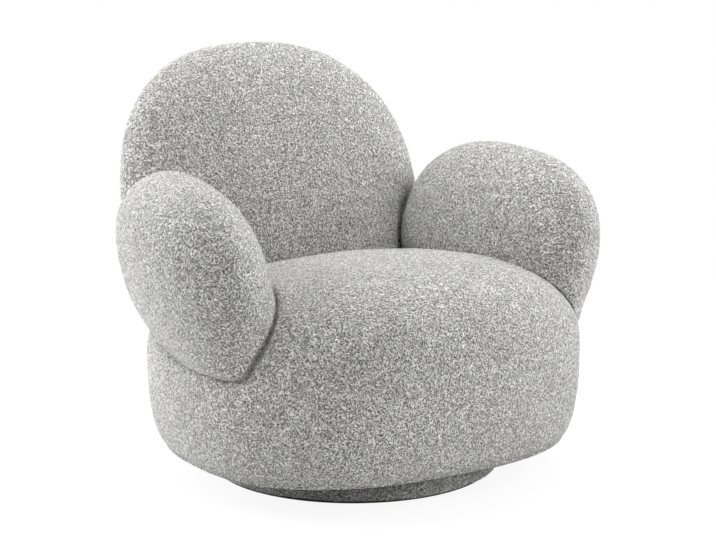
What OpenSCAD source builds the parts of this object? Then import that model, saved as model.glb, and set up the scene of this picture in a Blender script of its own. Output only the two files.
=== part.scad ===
// Swivel tub chair of four rounded, fabric-covered forms on a low round plinth.
// The origin is on the swivel axis at floor level, the chair faces -Y and +Z is up.
// Left and right are the sitter's, so the left arm is the one at +X.

/* [Seat pod] */
// Width of the seat pod at its widest line
pod_w = 826; // [760:2:900]
// Depth of the pod in front of its widest point
pod_front = 323; // [300:1:360]
// Depth of the pod behind its widest point
pod_rear = 397; // [370:1:440]
// How far the widest point lies in front of the swivel axis
pod_ahead = 61; // [40:1:80]
// Height of the pod from its flat underside to its crown
pod_h = 360; // [340:1:400]
// Height of the widest line above the underside
pod_waist = 179; // [160:1:200]
// Depth below the widest line at which the lower curve would close
pod_sweep = 278; // [260:1:340]
// Fall of the crown toward the back, in degrees
pod_rake = 5.5; // [3:0.5:8]

/* [Arms] */
// Length of an arm from front to back
arm_len = 484; // [440:2:520]
// Height of an arm
arm_h = 370; // [340:2:400]
// Thickness of an arm
arm_t = 230; // [200:2:250]
// How far an arm's middle lies inside the pod's widest point
arm_inset = 61; // [45:1:75]
// How far an arm's middle lies in front of the pod's rear
arm_ahead = 336; // [315:1:360]
// How far an arm's middle lies below the pod's crown
arm_sink = 2; // [0:1:20]
// Outward lean of an arm, in degrees
arm_lean = 15.7; // [10:0.1:20]
// Turn of an arm's front end outward, in degrees
arm_turn = 11; // [5:0.5:15]
// Fall of an arm's front end, in degrees
arm_dip = 10.1; // [6:0.1:14]

/* [Back] */
// How far each side of the back lies inside the pod's side
back_side_in = 66; // [50:1:85]
// Thickness of the back
back_t = 241; // [210:1:270]
// Height of the back above its widest line
back_up = 364; // [330:1:400]
// Depth of the back below its widest line
back_down = 320; // [300:1:340]
// How far the back's middle lies in front of the pod's rear
back_inset = 26; // [10:1:40]
// How far the back's widest line lies above the pod's crown
back_rise = 28; // [10:1:50]
// Backward lean of the back, in degrees
back_rake = 16.8; // [12:0.1:20]
// Forward curl of the back's side edges
back_curl = 33; // [10:1:50]

/* [Plinth] */
// Outside width of the plinth over its fabric
plinth_d = 570; // [480:5:620]
// Outside rounding of the plinth's edges
plinth_round = 8; // [5:0.5:12]
// Diameter of the hole that a driver reaches the upper plate's screws through
driver_hole_d = 22; // [16:1:26]
// Thickness of the felt ring that the chair stands on
glide_t = 5; // [3:0.5:8]
// Width of the felt ring
glide_w = 30; // [20:1:40]
// Distance of the felt ring from the plinth's edge
glide_inset = 14; // [10:1:30]

/* [Fabric and boards] */
// Thickness of the fabric with its wadding
cover_t = 3; // [2:0.5:4]
// Width of the fabric that is turned under a board
margin_w = 45; // [30:1:60]
// Thickness of the plywood boards
board_t = 18; // [15:1:21]
// Thickness of the dust cloth under the seat
dust_t = 1; // [0.5:0.5:2]
// Distance of the dust cloth from the pod's lower rim
dust_inset = 15; // [10:1:25]

/* [Swivel] */
// Height of the swivel over both plates
swivel_h = 21; // [21:0.5:26]
// Width of the square swivel plates
plate_w = 230; // [220:2:260]
// Thickness of the swivel plates
plate_t = 2.5; // [2:0.5:3]
// Rounding of the plates' corners
plate_round = 25; // [15:1:35]
// Diameter of a bearing ball
ball_d = 12; // [11:0.5:12]
// Number of bearing balls
ball_count = 18; // [12:1:24]
// Diameter of the ring that the balls run on
race_d = 188; // [180:2:200]
// Width of the raised race
race_w = 20; // [18:0.5:22]
// Depth of the track that the balls run in
track_depth = 1.5; // [1:0.25:2]
// Thickness of the ball cage
cage_t = 3; // [2:0.5:4]
// Inside diameter of the hub that holds the plates together
hub_d = 132; // [120:2:140]
// Wall of the hub
hub_t = 3; // [2:0.5:4]
// Width of the hub's flanges
flange_w = 9; // [7:0.5:11]
// Thickness of the hub's flanges
flange_t = 2; // [1.5:0.5:3]
// Diameter of the plate screws' shanks
screw_d = 5; // [4:0.5:6]
// Length of the plate screws under their heads
plate_screw_l = 16; // [12:1:18]
// Distance of the plate screws from the plates' edges
screw_edge = 18; // [15:1:22]

/* [Seat frame] */
// Distance of the frame's sides from the pod's widest points
side_pad = 128; // [120:1:150]
// Distance of the frame's front from the front of the pod
front_pad = 107; // [100:1:130]
// Distance of the frame's rear from the rear of the pod
rear_pad = 130; // [125:1:160]
// Thickness of the frame's rails
rail_t = 25; // [22:1:30]
// Height of the frame's rails
rail_h = 150; // [130:1:160]
// Leg length of the corner blocks
block_leg = 55; // [40:1:70]
// Height of the corner blocks
block_h = 70; // [50:1:90]
// Length of the frame screws
frame_screw_l = 50; // [40:1:56]

/* [Springs] */
// Number of zigzag springs
spring_count = 5; // [4:1:6]
// Number of half loops in a spring
loop_count = 14; // [12:2:18]
// Diameter of the spring wire
wire_d = 3.8; // [3:0.1:4.2]
// Straight length across a spring between its loops
wire_run = 28; // [22:1:34]
// Thickness of the spring clips
clip_t = 1.5; // [1:0.25:2]
// Width of the spring clips
clip_w = 20; // [14:1:20]
// Length of the spring clips' feet
clip_l = 18; // [14:1:20]
// Thickness of the felt pad over the springs
pad_t = 8; // [5:1:12]

/* [Arm and back frame] */
// Length of an arm panel from front to back
arm_panel_l = 260; // [230:2:280]
// Height of an arm panel's top above the arm's middle
arm_panel_rise = 80; // [60:1:90]
// Height over which an arm panel's top is rounded
arm_panel_dome = 170; // [140:1:200]
// Distance of a post's middle from the rear corner block beside it
post_inset = 55; // [45:1:70]
// Thickness of a post
post_t = 30; // [24:1:34]
// Depth of a post from front to back
post_depth = 44; // [38:1:50]
// Height of the posts above the seat frame, along their lean
post_rise = 450; // [400:2:480]
// Thickness of the back panel
back_panel_t = 9; // [6:1:12]
// How far the back panel reaches past the middle of each post
back_panel_side = 70; // [50:1:85]
// Distance from the posts' top down to the top of the back panel
back_panel_drop = 8; // [4:1:20]
// Height of the back panel
back_panel_h = 300; // [270:2:310]
// Height of the rails between the posts
cross_h = 45; // [35:1:60]
// Thickness of the rails between the posts
cross_t = 20; // [15:1:25]

/* [Bolts] */
// Diameter of the bolts' shanks
bolt_d = 8; // [6:0.5:9]
// Width across the corners of the bolt heads
bolt_head_w = 15; // [13:0.5:17]
// Height of the bolt heads
bolt_head_h = 5.5; // [4:0.5:7]
// Diameter of the washers
washer_d = 22; // [18:1:24]
// Thickness of the washers
washer_t = 1.6; // [1:0.2:2]
// Diameter of the tee nuts' barrels
barrel_d = 10.5; // [10.5:0.5:12]
// Length of the tee nuts' barrels
barrel_l = 11; // [8:1:12]
// Diameter of the tee nuts' flanges
tee_d = 22; // [18:1:24]
// Vertical spacing of the bolts
bolt_rise = 70; // [50:1:80]
// Height of the lower bolts above the base board
bolt_foot = 45; // [35:1:55]

/* [Hidden] */
// Clearance between pieces that fit in or against each other
gap = 0.3;
// Clearance round each bearing ball, and of a bolt in its tee nut
slip_gap = 0.15;
// Overrun of cuts past the faces that they open
over = 2;
// Room round the hub in the base board
access_gap = 8;
// Distance of the frame screws from the middles of the rails
side_screw = 150;
end_screw = 90;

// Powers of the superellipses: 2 is a circle, and a higher power is squarer
pod_outline_power = 2.45;
pod_crown_power = 2.42;
pod_skirt_power = 3.36;
arm_outline_power = 2.38;
arm_face_power = 2.17;
back_outline_power = 2.39;
back_face_power = 1.94;
panel_power = 2.4;

// An arm is this share taller at its front, and this share shorter at its top
arm_egg_share = 0.094;
arm_top_share = 0.07;
// The back is this share thinner at its top
back_thin_share = 0.2;

// Facets: points round each form, rings over an arm or the back, and rings below
// and above the pod's waist. The last ring lies this many degrees from the middle.
around = 32;
face_rings = 10;
skirt_rings = 4;
crown_rings = 8;
last_ring = 84;
round_fn = 96;
small_fn = 32;

// Heights of the stack from the floor up
band_z = glide_t;
lower_board_z = band_z + cover_t;
upper_board_z = lower_board_z + board_t;
swivel_z = upper_board_z + board_t;
plinth_top = swivel_z + cover_t;
seat_z = swivel_z + swivel_h;
pod_z = seat_z - cover_t;
waist_z = pod_z + pod_waist;
crown_z = pod_z + pod_h;
crown_h = pod_h - pod_waist;
frame_z = seat_z + board_t;
rail_top = frame_z + rail_h;

// Plinth
foam_inset = cover_t + 2 * gap;
plinth_screw_count = 6;
plinth_screw_r = plinth_d / 2 - margin_w - 2 * screw_d;

// Swivel
ball_z = swivel_z + swivel_h / 2;
race_r = race_d / 2;
hub_r = hub_d / 2;
flange_r = hub_r + hub_t + flange_w;
plate_diagonal = sqrt(2) * plate_w / 2;
screw_head_w = 1.9 * screw_d;
screw_head_h = 0.6 * screw_d;
screw_xy = plate_w / 2 - screw_edge;
track_z = swivel_h / 2 - ball_d / 2;

// Seat frame
frame_half_w = pod_w / 2 - side_pad;
frame_front = -pod_ahead - pod_front + front_pad;
frame_rear = -pod_ahead + pod_rear - rear_pad;
frame_d = frame_rear - frame_front;
access_r = flange_r + access_gap;

// Springs
wire_r = wire_d / 2;
clip_r = wire_r + gap;
wire_z = rail_top + clip_t + clip_r;
pad_z = wire_z + clip_r + clip_t + gap;
pad_top = pad_z + pad_t;
// A half loop's radius is rounded to whole steps, so that loops and straights meet face to face
loop_step = 0.05;
loop_r = loop_step * floor((frame_d - rail_t) / loop_count / 2 / loop_step);
loop_pitch = 2 * loop_r;
spring_l = loop_count * loop_pitch;
spring_y = frame_front + rail_t / 2;
spring_pitch = 2 * (frame_half_w - rail_t) / spring_count;

// Width of the back, and the middles of an arm and of the back
back_w = pod_w - 2 * back_side_in;
arm_x = pod_w / 2 - arm_inset;
arm_y = -pod_ahead + pod_rear - arm_ahead;
arm_z = crown_z - arm_sink;
back_y = -pod_ahead + pod_rear - back_inset;
back_z = crown_z + back_rise;

// Arm panels stand on the base board against the outside of the side rails
panel_x = frame_half_w;
panel_top = arm_z + arm_panel_rise;
panel_bolt_y = arm_panel_l / 4;

// The posts stand behind the rear rail, and lean back from its top corner
post_x = frame_half_w - rail_t - block_leg - post_inset;
back_panel_w = 2 * (post_x + back_panel_side);
post_bend_z = pad_top;
bolt_z = frame_z + bolt_foot;

// Superellipses by true angle: the reach from the middle, and its two shares
function reach(a, n) = pow(pow(abs(cos(a)), n) + pow(abs(sin(a)), n), -1 / n);
function across(a, n) = reach(a, n) * cos(a);
function along(a, n) = reach(a, n) * sin(a);

// Angles of the points round a form
function turns(n) = [for (i = [0 : n - 1]) 360 * i / n];

// The pod's outline at a share of its full size, drawn in by a width all round
function pod_outline(share, inset) =
    [for (a = turns(around))
        let (x = (pod_w / 2 * share - inset) * across(a, pod_outline_power),
             reach_y = sin(a) < 0 ? pod_front : pod_rear,
             y = (reach_y * share - inset) * along(a, pod_outline_power))
        [x, y]];
function skirt_share(z) = pow(1 - pow((waist_z - z) / pod_sweep, pod_skirt_power), 1 / pod_skirt_power);
function skirt_ring(z, inset) =
    [for (p = pod_outline(skirt_share(z), inset)) [p[0], p[1] - pod_ahead, z]];
function crown_ring(b, inset) =
    let (share = across(b, pod_crown_power),
         up = along(b, pod_crown_power))
    [for (p = pod_outline(share, inset * share))
        [p[0], p[1] - pod_ahead, waist_z + up * (crown_h - inset - tan(pod_rake) * p[1])]];

// Rings from the pod's floor to its crown, on a surface that lies inset inside it
function pod_rings(inset, floor_z) = concat(
    [for (j = [0 : skirt_rings - 1]) skirt_ring(floor_z + (waist_z - floor_z) * j / skirt_rings, inset)],
    [for (j = [0 : crown_rings]) crown_ring(last_ring * j / crown_rings, inset)]);

// A point of an arm in its own frame: a turns round its outline, and b goes from its
// inner face at -90 to its outer face at 90
function arm_point(a, b, inset) =
    let (half_l = arm_len / 2 - inset,
         half_h = arm_h / 2 - inset,
         half_t = arm_t / 2 - inset,
         rim = across(b, arm_face_power),
         round_y = -half_l * rim * across(a, arm_outline_power),
         round_z = half_h * rim * along(a, arm_outline_power),
         z = round_z * (1 - arm_egg_share * round_y / half_l),
         y = round_y * (1 - arm_top_share * z / half_h))
    [half_t * along(b, arm_face_power), y, z];

// A point of the back in its own frame: b goes from its front at -90 to its rear at 90
function back_point(a, b, inset) =
    let (half_w = back_w / 2 - inset,
         half_t = back_t / 2 - inset,
         up = back_up - inset,
         rise = sin(a) > 0 ? up : back_down - inset,
         rim = across(b, back_face_power),
         x = half_w * rim * across(a, back_outline_power),
         z = rise * rim * along(a, back_outline_power),
         thick = half_t * along(b, back_face_power) * (1 - back_thin_share * z / up))
    [x, thick - back_curl * pow(x / half_w, 2), z];

function face_angles() = [for (j = [0 : face_rings]) last_ring * (2 * j / face_rings - 1)];

// A closed skin over rings of points, each ring the same length, with a flat fan at each end
module loft(rings) {
    n = len(rings[0]);
    last = n * (len(rings) - 1);
    polyhedron(
        points = [for (ring = rings) each ring],
        faces = concat(
            [for (j = [0 : n : last - n]) for (i = [0 : n - 1])
                let (k = (i + 1) % n)
                each [[j + i, j + n + k, j + k], [j + i, j + n + i, j + n + k]]],
            [for (i = [1 : n - 2]) [0, i, i + 1]],
            [for (i = [1 : n - 2]) [last, last + i + 1, last + i]]));
}

module pod_form(inset) loft(pod_rings(inset, pod_z + max(inset, 0)));

module place_arm() translate([arm_x, arm_y, arm_z]) rotate([arm_dip, arm_lean, arm_turn]) children();

module arm_form(inset)
    place_arm()
        loft([for (b = face_angles()) [for (a = turns(around)) arm_point(-a, b, inset)]]);

module back_form(inset)
    translate([0, back_y, back_z])
        rotate([-back_rake, 0, 0])
            loft([for (b = face_angles()) [for (a = turns(around)) back_point(-a, b, inset)]]);

module left_and_right() {
    children();
    mirror([1, 0, 0]) children();
}

// A square-edged disc, ring or tube between two heights
module ring(r_out, r_in, z0, z1)
    translate([0, 0, z0])
        difference() {
            cylinder(r = r_out, h = z1 - z0, $fn = round_fn);
            translate([0, 0, -over]) cylinder(r = r_in, h = z1 - z0 + 2 * over, $fn = round_fn);
        }

// A cylinder between two heights
module post(r, z0, z1, fn) translate([0, 0, z0]) cylinder(r = r, h = z1 - z0, $fn = fn);

module at_corners(x, y) for (sx = [-1, 1]) for (sy = [-1, 1]) translate([sx * x, sy * y, 0]) children();

module at_turns(n) for (a = turns(n)) rotate([0, 0, a]) children();

// Half section of the plinth's drum, whose outer corners have the given rounding
module drum_section(r_out, r_in, z0, z1, corner) {
    translate([r_in, z0]) square([r_out - corner - r_in, z1 - z0]);
    translate([r_in, z0 + corner]) square([r_out - r_in, z1 - z0 - 2 * corner]);
    for (z = [z0 + corner, z1 - corner]) translate([r_out - corner, z]) circle(r = corner, $fn = small_fn);
}

// A countersunk wood screw that points up, with its head's face at the origin
module countersunk(l) {
    cylinder(r1 = screw_head_w / 2, r2 = screw_d / 2, h = screw_head_h, $fn = small_fn);
    cylinder(r = screw_d / 2, h = l, $fn = small_fn);
}

// The hole that a countersunk screw sits in
module countersink(l) {
    head_r = screw_head_w / 2 + gap;
    shank_r = screw_d / 2 + gap;
    rotate_extrude($fn = small_fn)
        polygon([[0, -over], [head_r, -over], [head_r, gap], [shank_r, gap + screw_head_h],
            [shank_r, l + over], [0, l + over]]);
}

// A pan-headed screw whose shank goes down from the origin
module pan_screw() {
    cylinder(r = screw_head_w / 2, h = screw_head_h, $fn = small_fn);
    translate([0, 0, -plate_screw_l]) cylinder(r = screw_d / 2, h = plate_screw_l + over / 2, $fn = small_fn);
}

// Holes for the plate screws, from one height to another
module plate_screw_holes(z0, z1) at_corners(screw_xy, screw_xy) post(screw_d / 2 + gap, z0, z1, small_fn);

// The upper plate's corners pass over this hole when the seat stands an eighth of a turn round
module driver_hole()
    translate([sqrt(2) * screw_xy, 0, 0])
        post(driver_hole_d / 2, lower_board_z - over, swivel_z + over, small_fn);

module glide_ring()
    color([0.16, 0.16, 0.17])
        ring(plinth_d / 2 - glide_inset, plinth_d / 2 - glide_inset - glide_w, 0, glide_t);

module plinth_lower_board()
    color([0.78, 0.64, 0.44])
        difference() {
            rotate_extrude($fn = round_fn)
                intersection() {
                    drum_section(plinth_d / 2 - cover_t - gap, 0, lower_board_z, swivel_z,
                        plinth_round - cover_t);
                    translate([0, lower_board_z]) square([plinth_d, board_t]);
                }
            at_turns(plinth_screw_count)
                translate([plinth_screw_r, 0, lower_board_z]) countersink(board_t);
            driver_hole();
        }

module plinth_upper_board()
    color([0.78, 0.64, 0.44])
        difference() {
            rotate_extrude($fn = round_fn)
                intersection() {
                    drum_section(plinth_d / 2 - cover_t - gap, 0, lower_board_z, swivel_z,
                        plinth_round - cover_t);
                    translate([0, upper_board_z]) square([plinth_d, board_t]);
                }
            at_turns(plinth_screw_count)
                translate([plinth_screw_r, 0, 0])
                    post(screw_d / 2 + gap, upper_board_z - over, swivel_z - 2 * over, small_fn);
            plate_screw_holes(swivel_z - plate_screw_l, swivel_z + over);
            driver_hole();
        }

module plinth_screws()
    color([0.55, 0.55, 0.57])
        at_turns(plinth_screw_count)
            translate([plinth_screw_r, 0, lower_board_z + gap]) countersunk(2 * board_t - 4 * over);

// A band of fabric round the drum, turned in over its top and its bottom
module plinth_cover()
    color([0.74, 0.73, 0.71])
        rotate_extrude($fn = round_fn)
            difference() {
                drum_section(plinth_d / 2, plinth_d / 2 - margin_w, band_z, plinth_top, plinth_round);
                drum_section(plinth_d / 2 - cover_t, 0, lower_board_z, swivel_z, plinth_round - cover_t);
            }

// Outline of a square swivel plate with rounded corners
module plate_outline() {
    square([plate_w - 2 * plate_round, plate_w], center = true);
    square([plate_w, plate_w - 2 * plate_round], center = true);
    at_corners(plate_w / 2 - plate_round, plate_w / 2 - plate_round) circle(r = plate_round, $fn = small_fn);
}

// Half section of a pressed race, hollow under the track that the balls run in
module race_section()
    difference() {
        translate([race_r - race_w / 2, 0]) square([race_w, track_z + track_depth]);
        translate([race_r - race_w / 2 + plate_t, -over])
            square([race_w - 2 * plate_t, over + track_z - slip_gap - plate_t]);
        translate([race_r, swivel_h / 2]) circle(r = ball_d / 2 + slip_gap, $fn = small_fn);
    }

// One swivel plate, with its outer face down at the origin and its race up
module swivel_plate(bore_r) {
    rotate_extrude($fn = round_fn) race_section();
    difference() {
        linear_extrude(plate_t) plate_outline();
        post(bore_r, -over, plate_t + over, round_fn);
        difference() {
            post(race_r + race_w / 2 - over / 2, -over, plate_t + over, round_fn);
            post(race_r - race_w / 2 + over / 2, -2 * over, plate_t + 2 * over, round_fn);
        }
        at_corners(screw_xy, screw_xy) post(screw_d / 2 + gap, -over, plate_t + over, small_fn);
    }
}

module swivel_lower_plate() color([0.62, 0.62, 0.64]) translate([0, 0, swivel_z]) swivel_plate(hub_r);

module swivel_upper_plate()
    color([0.62, 0.62, 0.64])
        translate([0, 0, seat_z]) mirror([0, 0, 1]) swivel_plate(hub_r + hub_t + gap);

// A flanged tube that is welded to the lower plate and holds the upper plate down
module swivel_hub()
    color([0.5, 0.5, 0.52])
        rotate_extrude($fn = round_fn) {
            translate([hub_r, swivel_z + plate_t])
                square([hub_t, seat_z + gap + flange_t - swivel_z - plate_t]);
            translate([hub_r, swivel_z + plate_t]) square([hub_t + flange_w, flange_t]);
            translate([hub_r, seat_z + gap]) square([hub_t + flange_w, flange_t]);
        }

module lower_plate_screws()
    color([0.45, 0.45, 0.47])
        at_corners(screw_xy, screw_xy) translate([0, 0, swivel_z + plate_t]) pan_screw();

module upper_plate_screws()
    color([0.45, 0.45, 0.47])
        at_corners(screw_xy, screw_xy) translate([0, 0, seat_z - plate_t]) mirror([0, 0, 1]) pan_screw();

module swivel_balls()
    color([0.8, 0.8, 0.82])
        at_turns(ball_count) translate([race_r, 0, ball_z]) sphere(r = ball_d / 2, $fn = small_fn);

module ball_cage()
    color([0.25, 0.3, 0.36])
        difference() {
            ring(race_r + race_w / 2, race_r - race_w / 2, ball_z - cage_t / 2, ball_z + cage_t / 2);
            at_turns(ball_count)
                translate([race_r, 0, 0]) post(ball_d / 2 + gap, ball_z - cage_t, ball_z + cage_t, small_fn);
        }

// Places of the screws that hold the base board to the rails
module at_frame_screws() {
    middle = (frame_front + frame_rear) / 2;
    at_side = frame_half_w - rail_t / 2;
    at_end = frame_d / 2 - rail_t / 2;
    translate([0, middle, seat_z]) {
        at_corners(at_side, side_screw) children();
        at_corners(end_screw, at_end) children();
    }
}

module base_board()
    color([0.78, 0.64, 0.44])
        difference() {
            translate([0, 0, seat_z])
                linear_extrude(board_t)
                    polygon([for (p = skirt_ring(seat_z, cover_t + gap)) [p[0], p[1]]]);
            post(access_r, seat_z - over, frame_z + over, round_fn);
            at_corners(screw_xy, screw_xy)
                post(screw_d / 2 + gap, seat_z - over, seat_z + plate_screw_l, small_fn);
            at_frame_screws() countersink(board_t);
        }

// A block between two corners, in the order that they are given
module block(low, high) translate(low) cube([high[0] - low[0], high[1] - low[1], high[2] - low[2]]);

// A rail with the holes of the screws and bolts that pass through it
module rail(low, high)
    color([0.86, 0.74, 0.55])
        difference() {
            block(low, high);
            at_frame_screws() post(screw_d / 2 + gap, 0, frame_screw_l + over, small_fn);
            at_frame_bolts() rod(bolt_d / 2 + gap, -over, rail_t + over);
        }

module front_rail()
    rail([rail_t - frame_half_w, frame_front, frame_z],
        [frame_half_w - rail_t, frame_front + rail_t, rail_top]);

module rear_rail()
    rail([rail_t - frame_half_w, frame_rear - rail_t, frame_z],
        [frame_half_w - rail_t, frame_rear, rail_top]);

module left_rail()
    rail([frame_half_w - rail_t, frame_front, frame_z], [frame_half_w, frame_rear, rail_top]);

module right_rail()
    rail([-frame_half_w, frame_front, frame_z], [rail_t - frame_half_w, frame_rear, rail_top]);

module corner_blocks()
    color([0.86, 0.74, 0.55])
        translate([0, (frame_front + frame_rear) / 2, frame_z])
            for (sx = [-1, 1]) for (sy = [-1, 1])
                scale([sx, sy, 1])
                    translate([frame_half_w - rail_t, frame_d / 2 - rail_t, 0])
                        linear_extrude(block_h) polygon([[0, 0], [-block_leg, 0], [0, -block_leg]]);

module frame_screws()
    color([0.55, 0.55, 0.57])
        at_frame_screws() translate([0, 0, gap]) countersunk(frame_screw_l);

// One zigzag spring along +Y, with its first straight at the origin
module spring() {
    for (i = [0 : loop_count])
        translate([-wire_run / 2, i * loop_pitch, 0])
            rotate([0, 90, 0]) cylinder(r = wire_r, h = wire_run, $fn = small_fn);
    for (i = [0 : loop_count - 1])
        let (side = i % 2 == 0 ? 1 : -1)
            translate([side * wire_run / 2, (i + 0.5) * loop_pitch, 0])
                rotate([0, 0, -side * 90])
                    rotate_extrude(angle = 180, $fn = small_fn)
                        translate([loop_r, 0]) circle(r = wire_r, $fn = small_fn);
}

module at_springs()
    for (i = [0 : spring_count - 1])
        translate([(i - (spring_count - 1) / 2) * spring_pitch, spring_y, 0]) children();

module seat_springs()
    color([0.58, 0.59, 0.6])
        at_springs() translate([0, 0, wire_z]) spring();

// A clip's side view: a foot on the rail, and a hook round the wire that is open inward
module clip_section() {
    translate([-clip_l / 2, -clip_r - clip_t]) square([clip_l, clip_t]);
    difference() {
        circle(r = clip_r + clip_t, $fn = small_fn);
        circle(r = clip_r, $fn = small_fn);
        square([clip_r + 2 * clip_t, clip_r + 2 * clip_t]);
    }
}

module spring_clip()
    translate([-clip_w / 2, 0, wire_z]) rotate([90, 0, 90]) linear_extrude(clip_w) clip_section();

module spring_clips()
    color([0.5, 0.5, 0.52])
        at_springs() {
            spring_clip();
            translate([0, spring_l, 0]) rotate([0, 0, 180]) spring_clip();
        }

module spring_pad()
    color([0.4, 0.42, 0.45])
        block([gap - frame_half_w, frame_front + gap, pad_z],
            [frame_half_w - gap, frame_rear - gap, pad_top]);

module dust_cover()
    color([0.08, 0.08, 0.09])
        translate([0, 0, pod_z - gap - dust_t])
            linear_extrude(dust_t)
                difference() {
                    polygon([for (p = skirt_ring(pod_z, dust_inset)) [p[0], p[1]]]);
                    circle(r = plate_diagonal, $fn = round_fn);
                }

// Side view of an arm panel, grown all round by g: a tang with a rounded top
module arm_panel_section(g) {
    spring_line = panel_top - arm_panel_dome;
    dome = [for (i = [0 : around])
        let (a = 180 * i / around)
        [(arm_panel_l / 2 + g) * across(a, panel_power), (arm_panel_dome + g) * along(a, panel_power)]];
    polygon(concat(
        [[-arm_panel_l / 2 - g, frame_z], [arm_panel_l / 2 + g, frame_z]],
        [for (p = dome) [p[0], spring_line + p[1]]]));
}

module arm_panel_blank(g)
    translate([panel_x - g, arm_y, 0]) rotate([90, 0, 90])
        linear_extrude(board_t + 2 * g) arm_panel_section(g);

module arm_panel()
    color([0.78, 0.64, 0.44])
        difference() {
            arm_panel_blank(0);
            at_arm_bolts() tee_nut_hole(rail_t, board_t);
        }

module left_arm_panel() arm_panel();

module right_arm_panel() mirror([1, 0, 0]) arm_panel();

// Turns a piece that points along +Z to point along +X or +Y
module point_x() rotate([0, 90, 0]) children();

module point_y() rotate([-90, 0, 0]) children();

// Places of the bolts that hold the left arm panel: inner faces of the left rail
module at_arm_bolts()
    for (y = [-panel_bolt_y, panel_bolt_y]) for (z = [0, bolt_rise])
        translate([frame_half_w - rail_t, arm_y + y, bolt_z + z]) point_x() children();

// Places of the bolts that hold the posts: inner face of the rear rail
module at_post_bolts()
    for (x = [-post_x, post_x]) for (z = [0, bolt_rise])
        translate([x, frame_rear - rail_t, bolt_z + z]) point_y() children();

module at_frame_bolts() {
    left_and_right() at_arm_bolts() children();
    at_post_bolts() children();
}

// A cylinder along +Z between two heights
module rod(r, z0, z1) post(r, z0, z1, small_fn);

// A hexagon bolt with its washer, which seats at the origin
module bolt(l) {
    rod(bolt_d / 2, -washer_t, l);
    rod(washer_d / 2, -washer_t, 0);
    post(bolt_head_w / 2, -washer_t - bolt_head_h, -washer_t, 6);
}

// A tee nut at the far side of a rail and the piece behind it
module tee_nut(depth)
    difference() {
        union() {
            rod(tee_d / 2, depth - washer_t, depth);
            rod(barrel_d / 2, depth - washer_t - barrel_l, depth);
        }
        rod(bolt_d / 2 + slip_gap, 0, depth + over);
    }

// The hole for a bolt and its tee nut, in a piece that starts at z0 and is t thick
module tee_nut_hole(z0, t) {
    rod(barrel_d / 2 + gap, z0 - over, z0 + t + over);
    rod(tee_d / 2 + gap, z0 + t - washer_t - gap, z0 + t + over);
}

module frame_bolts()
    color([0.5, 0.5, 0.52]) {
        left_and_right() at_arm_bolts() bolt(rail_t + board_t - gap);
        at_post_bolts() bolt(rail_t + post_depth - gap);
    }

module tee_nuts()
    color([0.6, 0.6, 0.62]) {
        left_and_right() at_arm_bolts() tee_nut(rail_t + board_t);
        at_post_bolts() tee_nut(rail_t + post_depth);
    }

// Where a face of the posts, w behind their front face, bends into its lean
function bend_point(w) = [frame_rear + w, post_bend_z - w * tan(back_rake / 2)];

// Side view of a post, grown all round by g
module post_section(g) {
    top = post_rise + g;
    up = [sin(back_rake), cos(back_rake)];
    behind = [cos(back_rake), -sin(back_rake)];
    base = [frame_rear, post_bend_z];
    polygon([
        [frame_rear - g, frame_z],
        [frame_rear + post_depth + g, frame_z],
        bend_point(post_depth + g),
        base + top * up + (post_depth + g) * behind,
        base + top * up - g * behind,
        bend_point(-g)]);
}

module post_blanks(g)
    for (x = [-post_x, post_x])
        translate([x - post_t / 2 - g, 0, 0]) rotate([90, 0, 90])
            linear_extrude(post_t + 2 * g) post_section(g);

module back_posts()
    color([0.86, 0.74, 0.55])
        difference() {
            post_blanks(0);
            at_post_bolts() tee_nut_hole(rail_t, post_depth);
        }

// The posts' leaning front face: Z runs up it and Y goes in behind it
module on_posts() translate([0, frame_rear, post_bend_z]) rotate([-back_rake, 0, 0]) children();

cross_half = post_x - post_t / 2;
cross_top = post_rise - back_panel_drop - cross_h / 2;
cross_low = post_rise - back_panel_drop - back_panel_h;

module back_cross_rails()
    color([0.86, 0.74, 0.55])
        on_posts()
            for (z = [cross_low, cross_top - cross_h])
                block([-cross_half, 0, z], [cross_half, cross_t, z + cross_h]);

module back_panel_blank(g)
    on_posts()
        translate([0, g, cross_low + back_panel_h / 2])
            rotate([90, 0, 0])
                linear_extrude(back_panel_t + 2 * g)
                    polygon([for (a = turns(2 * around))
                        [(back_panel_w / 2 + g) * across(a, panel_power),
                         (back_panel_h / 2 + g) * along(a, panel_power)]]);

module back_panel() color([0.78, 0.64, 0.44]) back_panel_blank(0);

// The room that the back's frame takes in its foam
module back_frame_room() {
    post_blanks(gap);
    back_panel_blank(gap);
    on_posts()
        for (z = [cross_low, cross_top - cross_h])
            block([-cross_half, 0, z - gap], [cross_half, cross_t + gap, z + cross_h + gap]);
}

// The room that the seat frame takes in the pod's foam
module frame_room()
    block([-frame_half_w - gap, frame_front - gap, seat_z],
        [frame_half_w + gap, frame_rear + gap, pad_top + gap]);

module seat_foam()
    color([0.88, 0.84, 0.7])
        difference() {
            pod_form(foam_inset);
            block([-pod_w, -2 * pod_rear, 0], [pod_w, 2 * pod_rear, frame_z + gap]);
            frame_room();
            left_and_right() arm_panel_blank(gap);
            post_blanks(gap);
        }

// The pod's fabric: its inner surface from the crown down, then its outer one up again
module seat_cover()
    color([0.74, 0.73, 0.71])
        difference() {
            loft(concat(
                reverse(pod_rings(cover_t, seat_z)),
                [skirt_ring(seat_z, margin_w), skirt_ring(pod_z, margin_w)],
                pod_rings(0, pod_z)));
            left_and_right() arm_panel_blank(gap);
            post_blanks(gap);
        }

function reverse(list) = [for (i = [len(list) - 1 : -1 : 0]) list[i]];

module back_foam()
    color([0.88, 0.84, 0.7])
        difference() {
            back_form(foam_inset);
            pod_form(-gap);
            back_frame_room();
        }

module back_cover()
    color([0.74, 0.73, 0.71])
        difference() {
            back_form(0);
            back_form(cover_t);
            pod_form(-gap);
        }

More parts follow.
